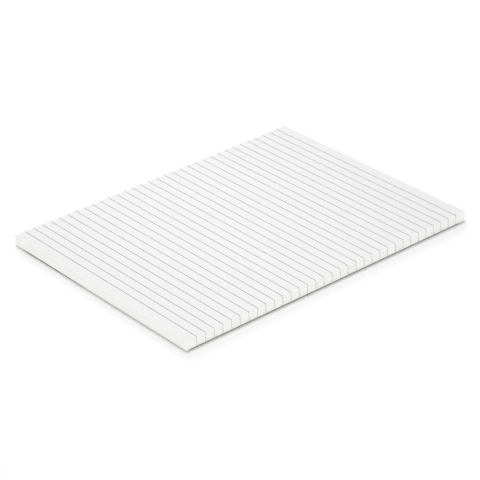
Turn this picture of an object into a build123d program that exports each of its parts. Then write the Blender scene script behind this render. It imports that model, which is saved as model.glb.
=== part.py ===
from build123d import *
import os

# Gummed writing pad: a block of sheets ruled to both edges, on a grey board.
# Millimetres, +Z up. The origin is the middle of the board's underside,
# +X runs along the ruling and +Y runs up the page to the glued head.

# Sheets
sheet_width = 215.9
sheet_length = 279.4
sheet_thickness = 0.1
sheet_count = 80

# Backing board
board_thickness = 0.75

# Ruling
head_margin = 9.5
line_pitch = 8.13
line_width = 0.4

# Glue film on the head
gum_thickness = 0.5
gum_lift = 0.3
gum_edge_share = 0.6

# Heights and places that follow from the sizes above
block_height = sheet_count * sheet_thickness
pad_top = board_thickness + block_height
first_line = sheet_length / 2 - head_margin
line_count = int((sheet_length - head_margin) // line_pitch)
line_places = [first_line - line * line_pitch for line in range(line_count)]

os.makedirs("parts", exist_ok=True)

# The board is cut with the sheets, so its edges are flush with theirs.
with BuildPart() as backing_board:
    with BuildSketch(Plane.XY):
        Rectangle(sheet_width, sheet_length)
    extrude(amount=board_thickness)

# Every sheet carries the same ruling, and it runs off both long edges.
# A line therefore shows across the top sheet and down both sides of the block.
# Each one is a flat hoop, one sheet deep, standing on the board.
with BuildPart() as ruled_lines:
    with BuildSketch(*[Plane.XZ.offset(-place) for place in line_places]):
        with Locations((0, board_thickness)):
            Rectangle(sheet_width, block_height, align=(Align.CENTER, Align.MIN))
            Rectangle(
                sheet_width - 2 * sheet_thickness,
                block_height - sheet_thickness,
                align=(Align.CENTER, Align.MIN),
                mode=Mode.SUBTRACT,
            )
    extrude(amount=line_width / 2, both=True)

# The sheets are one solid, with a shallow groove where each line is let in flush.
with BuildPart() as page_block:
    with BuildSketch(Plane.XY.offset(board_thickness)):
        Rectangle(sheet_width, sheet_length)
    extrude(amount=block_height)
    add(ruled_lines.part, mode=Mode.SUBTRACT)

# The glue is brushed over the cut head of the sheets and the board together.
# It stops just short of the table, and its outer edges are rounded off.
with BuildPart() as binding_gum:
    with BuildSketch(Plane.XY.offset(gum_lift)):
        with Locations((0, sheet_length / 2)):
            Rectangle(sheet_width, gum_thickness, align=(Align.CENTER, Align.MIN))
    extrude(amount=pad_top - gum_lift)
    outer_edges = binding_gum.faces().sort_by(Axis.Y)[-1].edges()
    fillet(outer_edges, radius=gum_thickness * gum_edge_share)

backing_board.part.label = "backing_board"
export_step(backing_board.part, "parts/backing_board.step")
page_block.part.label = "page_block"
export_step(page_block.part, "parts/page_block.step")
ruled_lines.part.label = "ruled_lines"
export_step(ruled_lines.part, "parts/ruled_lines.step")
binding_gum.part.label = "binding_gum"
export_step(binding_gum.part, "parts/binding_gum.step")
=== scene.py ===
import bpy
import math
import random
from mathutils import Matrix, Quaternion, Vector, noise


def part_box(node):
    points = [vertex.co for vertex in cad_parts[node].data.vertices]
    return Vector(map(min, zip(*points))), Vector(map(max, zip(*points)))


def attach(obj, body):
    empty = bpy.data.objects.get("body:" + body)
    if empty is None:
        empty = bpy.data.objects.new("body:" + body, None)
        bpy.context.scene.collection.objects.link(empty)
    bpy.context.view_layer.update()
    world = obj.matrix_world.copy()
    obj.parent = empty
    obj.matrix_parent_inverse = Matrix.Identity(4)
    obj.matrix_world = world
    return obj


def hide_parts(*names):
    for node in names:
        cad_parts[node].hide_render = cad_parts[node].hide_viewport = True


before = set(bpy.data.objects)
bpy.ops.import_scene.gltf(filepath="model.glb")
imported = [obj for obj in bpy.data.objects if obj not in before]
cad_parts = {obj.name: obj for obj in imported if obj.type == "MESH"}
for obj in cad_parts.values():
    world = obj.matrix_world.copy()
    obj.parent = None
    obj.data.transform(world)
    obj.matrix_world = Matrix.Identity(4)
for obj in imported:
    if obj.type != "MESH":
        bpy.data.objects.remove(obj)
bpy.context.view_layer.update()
mm = 0.001
scene = bpy.context.scene

blockLow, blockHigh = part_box("page_block")
boardLow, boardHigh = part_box("backing_board")
gumLow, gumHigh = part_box("binding_gum")
linesLow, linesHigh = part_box("ruled_lines")


# sRGB hex to linear, for every colour in the file
def hexColour(text):
    channels = [int(text[i:i + 2], 16) / 255 for i in (1, 3, 5)]
    linear = [c / 12.92 if c <= 0.04045 else ((c + 0.055) / 1.055) ** 2.4 for c in channels]
    return (*linear, 1.0)


def clamp(value):
    return min(1.0, max(0.0, value))


# a share of the way from one value to another
def blend(start, end, share):
    return start + share * (end - start)


# how far along a run a place has come, from 0 to 1
def alongRun(place, run):
    return clamp((place - run[0]) / (run[1] - run[0]))


# shares of a length, in steps that crowd towards both ends
def crowded(step, steps):
    return 0.5 - 0.5 * math.cos(math.pi * step / steps)


# one node, its settings, and its inputs: a socket is linked, anything else is a value
def addNode(tree, kind, inputs=None, **settings):
    node = tree.nodes.new("ShaderNode" + kind)
    for name, value in settings.items():
        setattr(node, name, value)
    for name, value in (inputs or {}).items():
        if isinstance(value, bpy.types.NodeSocket):
            tree.links.new(value, node.inputs[name])
        else:
            node.inputs[name].default_value = value
    return node


def newMaterial(name):
    material = bpy.data.materials.new(name)
    material.use_nodes = True
    material.node_tree.nodes.clear()
    return material, material.node_tree


# closed prism on an outline that runs anticlockwise seen from above
def addPrism(verts, faces, outline, low, high):
    start = len(verts)
    count = len(outline)
    verts += [(x, y, low) for x, y in outline]
    verts += [(x, y, high) for x, y in outline]
    faces.append([start + i for i in reversed(range(count))])
    faces.append([start + count + i for i in range(count)])
    for i in range(count):
        j = (i + 1) % count
        faces.append([start + i, start + j, start + count + j, start + count + i])


# a finished piece in place of one CAD node
def makePiece(name, verts, faces, material, node):
    mesh = bpy.data.meshes.new(name)
    mesh.from_pydata(verts, [], faces)
    mesh.validate()
    mesh.materials.append(material)
    piece = bpy.data.objects.new(name, mesh)
    scene.collection.objects.link(piece)
    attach(piece, "root")
    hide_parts(node)
    return piece


# a number for every point of a mesh, for its material to read
def paintPoints(piece, name, values):
    layer = piece.data.attributes.new(name, "FLOAT", "POINT")
    layer.data.foreach_set("value", values)


# uncoated woodfree paper, machine made: dead matt white, faintly cloudy, with a fine felt grain;
# where it is cut it looks a touch warmer, and the sheets show as faint layers, with painted shade that
# darkens the upper sheets' edges
def uncoatedPaper():
    look = {
        "white": "#F2F2F2",
        "cloud": "#EEEEEE",
        "cut": "#F0F0EE",
        "layer": "#E4E4E2",
        "cloudSize": 7 * mm,
        "cloudDetail": 3.0,
        "fibreSize": 1.4 * mm,     # a fibre is about 0.03 mm wide, too fine to show, so drawn coarser
        "fibreDetail": 4.0,
        "whiteRange": (0.7, 1.3),  # clouds and fibres added up: all cloud at the first, white at the second
        "layerSize": 0.45 * mm,    # a sheet is 0.1 mm, too fine to show, so a layer is several sheets
        "layerRun": 70 * mm,
        "layerDetail": 3.0,
        "grainSize": 0.6 * mm,     # drawn coarser too
        "grainDetail": 2.0,
        "grainDepth": 0.02 * mm,
        "grainStrength": 0.15,
        "roughness": 0.9,
        "ior": 1.5,
        "specular": 0.25,
    }
    material, tree = newMaterial("uncoated_paper_machine_finish")
    place = addNode(tree, "TexCoord").outputs["Object"]
    clouds = addNode(tree, "TexNoise", {
        "Vector": place, "Scale": 1 / look["cloudSize"], "Detail": look["cloudDetail"],
    })
    fibres = addNode(tree, "TexNoise", {
        "Vector": place, "Scale": 1 / look["fibreSize"], "Detail": look["fibreDetail"],
    })
    mixed = addNode(tree, "Math", {
        0: clouds.outputs["Fac"], 1: fibres.outputs["Fac"],
    }, operation="ADD")
    share = addNode(tree, "MapRange", {
        "Value": mixed.outputs[0], "From Min": look["whiteRange"][0], "From Max": look["whiteRange"][1],
    })
    sheet = addNode(tree, "Mix", {
        "Factor": share.outputs[0], "A": hexColour(look["cloud"]), "B": hexColour(look["white"]),
    }, data_type="RGBA")

    # layers on the cut sides, from noise that is long along the sheet and thin through it
    layerScale = (1 / look["layerRun"], 1 / look["layerRun"], 1 / look["layerSize"])
    stretch = addNode(tree, "Mapping", {"Vector": place, "Scale": layerScale})
    layers = addNode(tree, "TexNoise", {
        "Vector": stretch.outputs["Vector"], "Scale": 1.0, "Detail": look["layerDetail"],
    })
    # each sheet's own tone, partly random and partly painted shade that rises with height
    tint = addNode(tree, "Attribute", attribute_name="sheetToneAndShade")
    layerShare = addNode(tree, "Math", {
        0: layers.outputs["Fac"], 1: tint.outputs["Fac"],
    }, operation="MULTIPLY")
    edge = addNode(tree, "Mix", {
        "Factor": layerShare.outputs[0], "A": hexColour(look["cut"]), "B": hexColour(look["layer"]),
    }, data_type="RGBA")
    facing = addNode(tree, "SeparateXYZ", {"Vector": addNode(tree, "NewGeometry").outputs["Normal"]})
    upward = addNode(tree, "Math", {0: facing.outputs["Z"]}, operation="ABSOLUTE")
    tone = addNode(tree, "Mix", {
        "Factor": upward.outputs[0], "A": edge.outputs["Result"], "B": sheet.outputs["Result"],
    }, data_type="RGBA")

    grain = addNode(tree, "TexNoise", {
        "Vector": place, "Scale": 1 / look["grainSize"], "Detail": look["grainDetail"],
    })
    felt = addNode(tree, "Bump", {
        "Height": grain.outputs["Fac"], "Strength": look["grainStrength"], "Distance": look["grainDepth"],
    })
    shader = addNode(tree, "BsdfPrincipled", {
        "Base Color": tone.outputs["Result"],
        "Roughness": look["roughness"],
        "IOR": look["ior"],
        "Specular IOR Level": look["specular"],
        "Normal": felt.outputs["Normal"],
    })
    addNode(tree, "OutputMaterial", {"Surface": shader.outputs["BSDF"]})
    return material


# grey offset ink soaked into uncoated paper: matt, a little uneven along the line
def offsetInk():
    look = {
        "full": "#444445",
        "thin": "#5C5C5D",
        "patchSize": 5 * mm,
        "patchDetail": 3.0,
        "roughness": 0.75,
        "ior": 1.5,
        "specular": 0.25,
    }
    material, tree = newMaterial("grey_offset_ink_on_paper")
    place = addNode(tree, "TexCoord").outputs["Object"]
    uneven = addNode(tree, "TexNoise", {
        "Vector": place, "Scale": 1 / look["patchSize"], "Detail": look["patchDetail"],
    })
    tone = addNode(tree, "Mix", {
        "Factor": uneven.outputs["Fac"], "A": hexColour(look["full"]), "B": hexColour(look["thin"]),
    }, data_type="RGBA")
    shader = addNode(tree, "BsdfPrincipled", {
        "Base Color": tone.outputs["Result"],
        "Roughness": look["roughness"],
        "IOR": look["ior"],
        "Specular IOR Level": look["specular"],
    })
    addNode(tree, "OutputMaterial", {"Surface": shader.outputs["BSDF"]})
    return material


# grey chipboard, pressed from waste paper: dull, flecked with darker and paler fibres;
# painted paler at the corners, at the right of the foot and up the right side where the contact shadow is
# lighter, and painted darker at the foot's left end as a deeper contact shadow
def greyChipboard():
    look = {
        "grey": "#77776E",
        "dark": "#5C5C54",
        "pale": "#A8A49D",
        # painted light: the pale that stands for a lighter contact shadow
        "paintedLight": "#DCDAD5",
        # painted shadow: the dark that stands for a deeper contact shadow
        "paintedShadow": "#1C1B19",
        "cloudSize": 12 * mm,
        "cloudDetail": 3.0,
        "darkRange": (0.35, 0.7),   # cloud noise: all grey at the first, all dark at the second
        "fleckSize": 0.8 * mm,
        "fleckDetail": 5.0,
        "paleRange": (0.55, 0.75),  # fleck noise: no fleck at the first, all fleck at the second
        "fleckDepth": 0.05 * mm,
        "fleckStrength": 0.4,
        "roughness": 0.95,
        "ior": 1.5,
        "specular": 0.2,
    }
    material, tree = newMaterial("grey_chipboard_pressed")
    place = addNode(tree, "TexCoord").outputs["Object"]
    clouds = addNode(tree, "TexNoise", {
        "Vector": place, "Scale": 1 / look["cloudSize"], "Detail": look["cloudDetail"],
    })
    flecks = addNode(tree, "TexNoise", {
        "Vector": place, "Scale": 1 / look["fleckSize"], "Detail": look["fleckDetail"],
    })
    darkShare = addNode(tree, "MapRange", {
        "Value": clouds.outputs["Fac"], "From Min": look["darkRange"][0], "From Max": look["darkRange"][1],
    })
    paleShare = addNode(tree, "MapRange", {
        "Value": flecks.outputs["Fac"], "From Min": look["paleRange"][0], "From Max": look["paleRange"][1],
    })
    pulp = addNode(tree, "Mix", {
        "Factor": darkShare.outputs[0], "A": hexColour(look["grey"]), "B": hexColour(look["dark"]),
    }, data_type="RGBA")
    flecked = addNode(tree, "Mix", {
        "Factor": paleShare.outputs[0], "A": pulp.outputs["Result"], "B": hexColour(look["pale"]),
    }, data_type="RGBA")

    # painted shade above 0 paints the edge paler, as lighter shadow, and below 0 paints it darker, as
    # deeper shadow; a Mix takes a factor below 0 as none
    paintedShade = addNode(tree, "Attribute", attribute_name="paintedShade")
    paintedLighter = addNode(tree, "Mix", {
        "Factor": paintedShade.outputs["Fac"], "A": flecked.outputs["Result"], "B": hexColour(look["paintedLight"]),
    }, data_type="RGBA")
    paintedDarker = addNode(tree, "Math", {0: paintedShade.outputs["Fac"], 1: -1.0}, operation="MULTIPLY")
    tone = addNode(tree, "Mix", {
        "Factor": paintedDarker.outputs[0], "A": paintedLighter.outputs["Result"], "B": hexColour(look["paintedShadow"]),
    }, data_type="RGBA")
    rough = addNode(tree, "Bump", {
        "Height": flecks.outputs["Fac"], "Strength": look["fleckStrength"], "Distance": look["fleckDepth"],
    })
    shader = addNode(tree, "BsdfPrincipled", {
        "Base Color": tone.outputs["Result"],
        "Roughness": look["roughness"],
        "IOR": look["ior"],
        "Specular IOR Level": look["specular"],
        "Normal": rough.outputs["Normal"],
    })
    addNode(tree, "OutputMaterial", {"Surface": shader.outputs["BSDF"]})
    return material


# white padding glue, brushed on and dried: a soft satin skin with long brush streaks
def driedGlue():
    look = {
        "thick": "#EDECE7",
        "thin": "#DEDCD4",
        "streakSize": 0.7 * mm,
        "streakRun": 30 * mm,
        "streakDetail": 4.0,
        "streakDepth": 0.06 * mm,
        "streakStrength": 0.3,
        "roughness": 0.42,
        "ior": 1.47,
    }
    material, tree = newMaterial("padding_glue_brushed_dried")
    place = addNode(tree, "TexCoord").outputs["Object"]
    streakScale = (1 / look["streakRun"], 1 / look["streakSize"], 1 / look["streakSize"])
    stretch = addNode(tree, "Mapping", {"Vector": place, "Scale": streakScale})
    streaks = addNode(tree, "TexNoise", {
        "Vector": stretch.outputs["Vector"], "Scale": 1.0, "Detail": look["streakDetail"],
    })
    body = addNode(tree, "Attribute", attribute_name="filmDepth")
    tone = addNode(tree, "Mix", {
        "Factor": body.outputs["Fac"], "A": hexColour(look["thin"]), "B": hexColour(look["thick"]),
    }, data_type="RGBA")
    brushed = addNode(tree, "Bump", {
        "Height": streaks.outputs["Fac"],
        "Strength": look["streakStrength"],
        "Distance": look["streakDepth"],
    })
    shader = addNode(tree, "BsdfPrincipled", {
        "Base Color": tone.outputs["Result"],
        "Roughness": look["roughness"],
        "IOR": look["ior"],
        "Normal": brushed.outputs["Normal"],
    })
    addNode(tree, "OutputMaterial", {"Surface": shader.outputs["BSDF"]})
    return material


paper = uncoatedPaper()
ink = offsetInk()
chipboard = greyChipboard()
glue = driedGlue()
print("materials made")

# the stack: every sheet is there, each a hair out of line with the next
stack = {
    "sheets": 80,
    "airGap": 0.003 * mm,
    "inkFilm": 0.01 * mm,     # the top sheet lies this much below the print
    "stray": 0.05 * mm,       # how far a sheet may sit inside the trimmed edge
    "strayLeast": 0.2,        # share of that which every sheet has
    "strayShared": 0.5,       # share that follows its neighbours
    "strayOwn": 0.3,          # share that is its own
    "drift": 0.7,             # how much of its neighbour's place a sheet keeps
    "firstPlace": 0.5,        # the place that the lowest sheet follows, from 0 to 1
    "paintedShadeRise": 0.7,           # share of an edge's layer tone that is painted shade, darkest at the top, to even out light that is brighter high on the sides
    "seed": 11,
}
dice = random.Random(stack["seed"])
sheetPitch = (blockHigh.z - blockLow.z) / stack["sheets"]
sides = ("left", "right", "footLeft", "footRight")
wander = {side: stack["firstPlace"] for side in sides}
sheets = []
for i in range(stack["sheets"]):
    for side in sides:
        wander[side] = stack["drift"] * wander[side] + (1 - stack["drift"]) * dice.random()
    inset = {}
    for side in sides:
        own = stack["strayOwn"] * dice.random()
        share = stack["strayLeast"] + stack["strayShared"] * wander[side] + own
        inset[side] = stack["stray"] * share
    low = blockLow.z + i * sheetPitch
    high = low + sheetPitch - stack["airGap"]
    if i == stack["sheets"] - 1:
        high = blockHigh.z - stack["inkFilm"]
    left = blockLow.x + inset["left"]
    right = blockHigh.x - inset["right"]
    outline = [
        (left, blockLow.y + inset["footLeft"]),
        (right, blockLow.y + inset["footRight"]),
        (right, blockHigh.y),
        (left, blockHigh.y),
    ]
    sheets.append({"outline": outline, "low": low, "high": high, "left": left, "right": right})

verts, faces, tones = [], [], []
for sheet in sheets:
    addPrism(verts, faces, sheet["outline"], sheet["low"], sheet["high"])
    # layer tone: partly painted shade, darker the higher the sheet, and partly random to each sheet
    risen = (sheet["low"] - blockLow.z) / (blockHigh.z - blockLow.z)
    tone = stack["paintedShadeRise"] * risen + (1 - stack["paintedShadeRise"]) * dice.random()
    tones += [tone] * (len(verts) - len(tones))
sheetStack = makePiece("sheet_stack", verts, faces, paper, "page_block")
paintPoints(sheetStack, "sheetToneAndShade", tones)
print("sheet stack made,", stack["sheets"], "sheets")

# the ruling: a strip across the top sheet, and a mark on the cut edge of every sheet
ruling = {
    "lines": 33,
    "width": 0.4 * mm,
    "soak": 0.02 * mm,        # how deep the ink goes into the paper
    "edgeShare": 0.53,        # how much of a sheet's edge the ink stains
    "edgeFilm": 0.006 * mm,   # how far a mark stands out from the edge
    "register": 0.05 * mm,    # how far the print wanders from sheet to sheet
    "seed": 23,
}
dice = random.Random(ruling["seed"])
half = ruling["width"] / 2
linePitch = (linesHigh.y - linesLow.y - ruling["width"]) / (ruling["lines"] - 1)
linePlaces = [linesHigh.y - half - k * linePitch for k in range(ruling["lines"])]
verts, faces = [], []
topSheet = sheets[-1]
for y in linePlaces:
    outline = [
        (topSheet["left"], y - half),
        (topSheet["right"], y - half),
        (topSheet["right"], y + half),
        (topSheet["left"], y + half),
    ]
    addPrism(verts, faces, outline, topSheet["high"] - ruling["soak"], blockHigh.z)
for sheet in sheets:
    shift = dice.uniform(-1, 1) * ruling["register"]
    bottom = sheet["high"] - ruling["edgeShare"] * sheetPitch
    marks = [
        (sheet["left"] - ruling["edgeFilm"], sheet["left"] + ruling["soak"]),
        (sheet["right"] - ruling["soak"], sheet["right"] + ruling["edgeFilm"]),
    ]
    for y in linePlaces:
        lower = y + shift - half
        upper = y + shift + half
        for near, far in marks:
            outline = [(near, lower), (far, lower), (far, upper), (near, upper)]
            addPrism(verts, faces, outline, bottom, sheet["high"] - stack["airGap"])
makePiece("ruling_print", verts, faces, ink, "ruled_lines")
print("ruling made,", ruling["lines"], "lines")

# the board: a slab whose cut edges are ragged and rounded over
slab = {
    "step": 1.5 * mm,         # spacing of points round the edge
    "arris": 0.2 * mm,
    "arrisSteps": 3,
    "wallSteps": 3,
    "ragged": 0.06 * mm,      # how deep the torn fibres of the cut go
    "raggedSize": 1.8 * mm,
    "raggedSquash": 3,        # the fibres lie flat, so the tears are this much finer up the edge
    "footPaintedShadow": -0.75,       # painted shadow at the left of the foot: darker, as a deeper contact shadow
    "footPaintedLight": 0.65,         # painted light at the right of the foot: paler, as a lighter contact shadow
    "footRun": (0.16, 0.46),  # shares of the foot, from the left, between which one becomes the other
    "sidePaintedLight": 0.06,         # painted light on the right side, where the contact shadow is lighter; it is twice this towards the head
    "sideRun": (0.6, 0.75),   # shares of that side, from the foot, where the rise starts and ends
    "cornerPaintedLight": 1.6,        # painted light at the corners, where the contact shadow thins out; past 1 the pale place has a flat middle
    "cornerPaintedRun": {           # how far it runs in from each corner: foot first, then head
        (0, 0): 22 * mm, (1, 0): 4 * mm,
        (0, 1): 6 * mm, (1, 1): 9 * mm,
    },
}
boardSize = boardHigh - boardLow
columns = round(boardSize.x / slab["step"])
rows = round(boardSize.y / slab["step"])
rim = [(i / columns, 0.0) for i in range(columns)] + [(1.0, j / rows) for j in range(rows)]
rim += [(1 - i / columns, 1.0) for i in range(columns)] + [(0.0, 1 - j / rows) for j in range(rows)]
arris = []
for i in range(slab["arrisSteps"] + 1):
    angle = math.pi / 2 * i / slab["arrisSteps"]
    arris.append((slab["arris"] * (1 - math.sin(angle)), slab["arris"] * (1 - math.cos(angle))))
wallHeight = boardSize.z - 2 * slab["arris"]
wall = []
for i in range(1, slab["wallSteps"]):
    wall.append((0.0, slab["arris"] + wallHeight * i / slab["wallSteps"]))
profile = arris + wall + [(inset, boardSize.z - rise) for inset, rise in reversed(arris)]
verts, faces, paintedShades = [], [], []
for inset, rise in profile:
    for u, v in rim:
        x = boardLow.x + u * boardSize.x
        y = boardLow.y + v * boardSize.y
        torn = abs(noise.noise(Vector((x, y, slab["raggedSquash"] * rise)) / slab["raggedSize"]))
        depth = inset + slab["ragged"] * clamp(torn)
        x = min(max(x, boardLow.x + depth), boardHigh.x - depth)
        y = min(max(y, boardLow.y + depth), boardHigh.y - depth)
        verts.append((x, y, boardLow.z + rise))
        # painted shade along the edge: darker at the foot's left, paler at its right, up the right side and
        # at the corners, following a contact shadow that changes along the base
        shading = 0.0
        if v == 0.0:
            shading = blend(slab["footPaintedShadow"], slab["footPaintedLight"], alongRun(u, slab["footRun"]))
        elif u == 1.0:
            shading = slab["sidePaintedLight"] * (1 + alongRun(v, slab["sideRun"]))
        corner = (round(u), round(v))
        toCorner = abs(u - corner[0]) * boardSize.x + abs(v - corner[1]) * boardSize.y
        close = clamp(1 - toCorner / slab["cornerPaintedRun"][corner])
        paintedShades.append(blend(shading, slab["cornerPaintedLight"], close))
count = len(rim)
for ring in range(len(profile) - 1):
    below = ring * count
    above = below + count
    for i in range(count):
        j = (i + 1) % count
        faces.append([below + i, below + j, above + j, above + i])
faces.append(list(reversed(range(count))))
faces.append([(len(profile) - 1) * count + i for i in range(count)])
boardSlab = makePiece("board_slab", verts, faces, chipboard, "backing_board")
paintPoints(boardSlab, "paintedShade", paintedShades)
print("board made,", len(faces), "faces")

# the glue: a brushed film over the head, thin and wavy along its long edges
film = {
    "columns": 240,
    "rows": 40,
    "thin": 0.45,             # depth of the film between two streaks, as a share of the whole
    "streakSize": 0.9 * mm,
    "streakRun": 28 * mm,
    "streakMiddle": 0.5,      # streak noise runs either side of 0: it is scaled, and set about this
    "streakGain": 0.8,
    "edgeRound": 0.3 * mm,
    "edgeWander": 0.15 * mm,
    "wanderRun": 17 * mm,
    "lowerCut": 1.3,          # three cuts through the noise, so that edges and streaks differ
    "upperCut": 7.7,
    "streakCut": 4.1,
}


# how far an edge of the film has wandered in at x
def wanderedIn(x, cut):
    return film["edgeWander"] * abs(noise.noise(Vector((x / film["wanderRun"], cut, 0.0))))


# place on the head and depth of the film, at shares along and up it
def filmPoint(u, v):
    x = blend(gumLow.x, gumHigh.x, u)
    bottom = gumLow.z + wanderedIn(x, film["lowerCut"])
    top = gumHigh.z - wanderedIn(x, film["upperCut"])
    z = blend(bottom, top, v)
    streak = noise.noise(Vector((x / film["streakRun"], film["streakCut"], z / film["streakSize"])))
    depth = blend(film["thin"], 1, clamp(film["streakMiddle"] + film["streakGain"] * streak))
    edge = min(z - bottom, top - z, x - gumLow.x, gumHigh.x - x)
    bend = 1 - clamp(edge / film["edgeRound"])
    return x, z, depth * math.sqrt(1 - bend * bend)


verts, faces, depths = [], [], []
across = film["columns"] + 1
up = film["rows"] + 1
for j in range(up):
    for i in range(across):
        x, z, depth = filmPoint(crowded(i, film["columns"]), crowded(j, film["rows"]))
        verts.append((x, blend(gumLow.y, gumHigh.y, depth), z))
        depths.append(depth)
for j in range(film["rows"]):
    for i in range(film["columns"]):
        start = j * across + i
        faces.append([start, start + across, start + across + 1, start + 1])
border = list(range(across)) + [j * across + across - 1 for j in range(1, up)]
border += [(up - 1) * across + i for i in reversed(range(across - 1))]
border += [j * across for j in reversed(range(1, up - 1))]
faces.append(border)
glueFilm = makePiece("glue_film", verts, faces, glue, "binding_gum")
paintPoints(glueFilm, "filmDepth", depths)
print("glue film made,", len(faces), "faces")

# studio: white table, white tent and soft panels; the shade panels light the table alone,
# so that the pad lies in a soft shadow and its own sides stay evenly lit
studio = {
    "tableSize": 8.0,
    "tableWhite": "#C8C8C8",
    "tableRoughness": 1.0,
    "tableSpecular": 0.0,
    "tentWhite": "#FFFFFF",
    "tentStrength": 0.85,
    "panels": {
        "overLeft": {
            "at": (-0.13, 0.03, 0.26), "to": (-0.13, 0.03, 0.0), "size": 0.25, "power": 0.124,
        },
        "overRight": {
            "at": (0.14, -0.07, 0.16), "to": (0.14, -0.07, 0.0), "size": 0.3, "power": 0.037,
        },
        "fillRight": {
            "at": (1.40, -0.10, 0.25), "to": (0.0, 0.0, 0.0), "size": 0.5, "power": 2.8,
        },
        "fillFoot": {
            "at": (0.10, -1.40, 0.25), "to": (0.0, 0.0, 0.0), "size": 0.5, "power": 2.5,
        },
        "shadeHigh": {
            "at": (-0.91, 0.33, 3.88), "to": (0.0, 0.0, 0.0), "size": 1.2, "power": 100.0,
            "tableOnly": True,
        },
        "shadeLow": {
            "at": (-3.06, 1.93, 1.69), "to": (0.0, 0.0, 0.0), "size": 1.8, "power": 80.0,
            "tableOnly": True,
        },
    },
}

# white card, unvarnished: no shine at all, so that it shows nothing but the shadow
cardMaterial, tree = newMaterial("white_card_unvarnished")
shader = addNode(tree, "BsdfPrincipled", {
    "Base Color": hexColour(studio["tableWhite"]),
    "Roughness": studio["tableRoughness"],
    "Specular IOR Level": studio["tableSpecular"],
})
addNode(tree, "OutputMaterial", {"Surface": shader.outputs["BSDF"]})
reach = studio["tableSize"] / 2
tableMesh = bpy.data.meshes.new("table")
tableCorners = [(-reach, -reach, 0), (reach, -reach, 0), (reach, reach, 0), (-reach, reach, 0)]
tableMesh.from_pydata(tableCorners, [], [(0, 1, 2, 3)])
tableMesh.materials.append(cardMaterial)
table = bpy.data.objects.new("table", tableMesh)
scene.collection.objects.link(table)
tableOnly = bpy.data.collections.new("table_only")
tableOnly.objects.link(table)

tent = bpy.data.worlds.new("tent")
tent.use_nodes = True
tentInputs = tent.node_tree.nodes["Background"].inputs
tentInputs["Color"].default_value = hexColour(studio["tentWhite"])
tentInputs["Strength"].default_value = studio["tentStrength"]
scene.world = tent
for name, panel in studio["panels"].items():
    lamp = bpy.data.lights.new(name, "AREA")
    lamp.shape = "SQUARE"
    lamp.size = panel["size"]
    lamp.energy = panel["power"]
    holder = bpy.data.objects.new(name, lamp)
    holder.location = panel["at"]
    beam = Vector(panel["to"]) - Vector(panel["at"])
    holder.rotation_euler = beam.to_track_quat("-Z", "Y").to_euler()
    holder.visible_camera = False
    if panel.get("tableOnly"):
        holder.light_linking.receiver_collection = tableOnly
    scene.collection.objects.link(holder)
scene.view_settings.view_transform = "Standard"
print("studio lit")

# camera: long lens from over the foot's right corner, rolled a little as the photo is
shot = {
    "azimuth": math.radians(51.66),
    "elevation": math.radians(28.97),
    "roll": math.radians(-2.794),
    "distance": 1.571,
    "lens": 152.48,           # millimetres, as Blender takes it
    "aimX": 20.7 * mm,
    "aimY": -17.01 * mm,
    "farthest": 50.0,
}
aim = Vector((shot["aimX"], shot["aimY"], blockHigh.z))
back = Vector((
    math.sin(shot["azimuth"]) * math.cos(shot["elevation"]),
    -math.cos(shot["azimuth"]) * math.cos(shot["elevation"]),
    math.sin(shot["elevation"]),
))
lens = bpy.data.cameras.new("camera")
lens.lens = shot["lens"]
lens.clip_end = shot["farthest"]
camera = bpy.data.objects.new("camera", lens)
camera.location = aim + back * shot["distance"]
level = (-back).to_track_quat("-Z", "Y")
camera.rotation_euler = (level @ Quaternion((0, 0, 1), shot["roll"])).to_euler()
scene.collection.objects.link(camera)
scene.camera = camera
print("camera set")

bpy.context.view_layer.update()
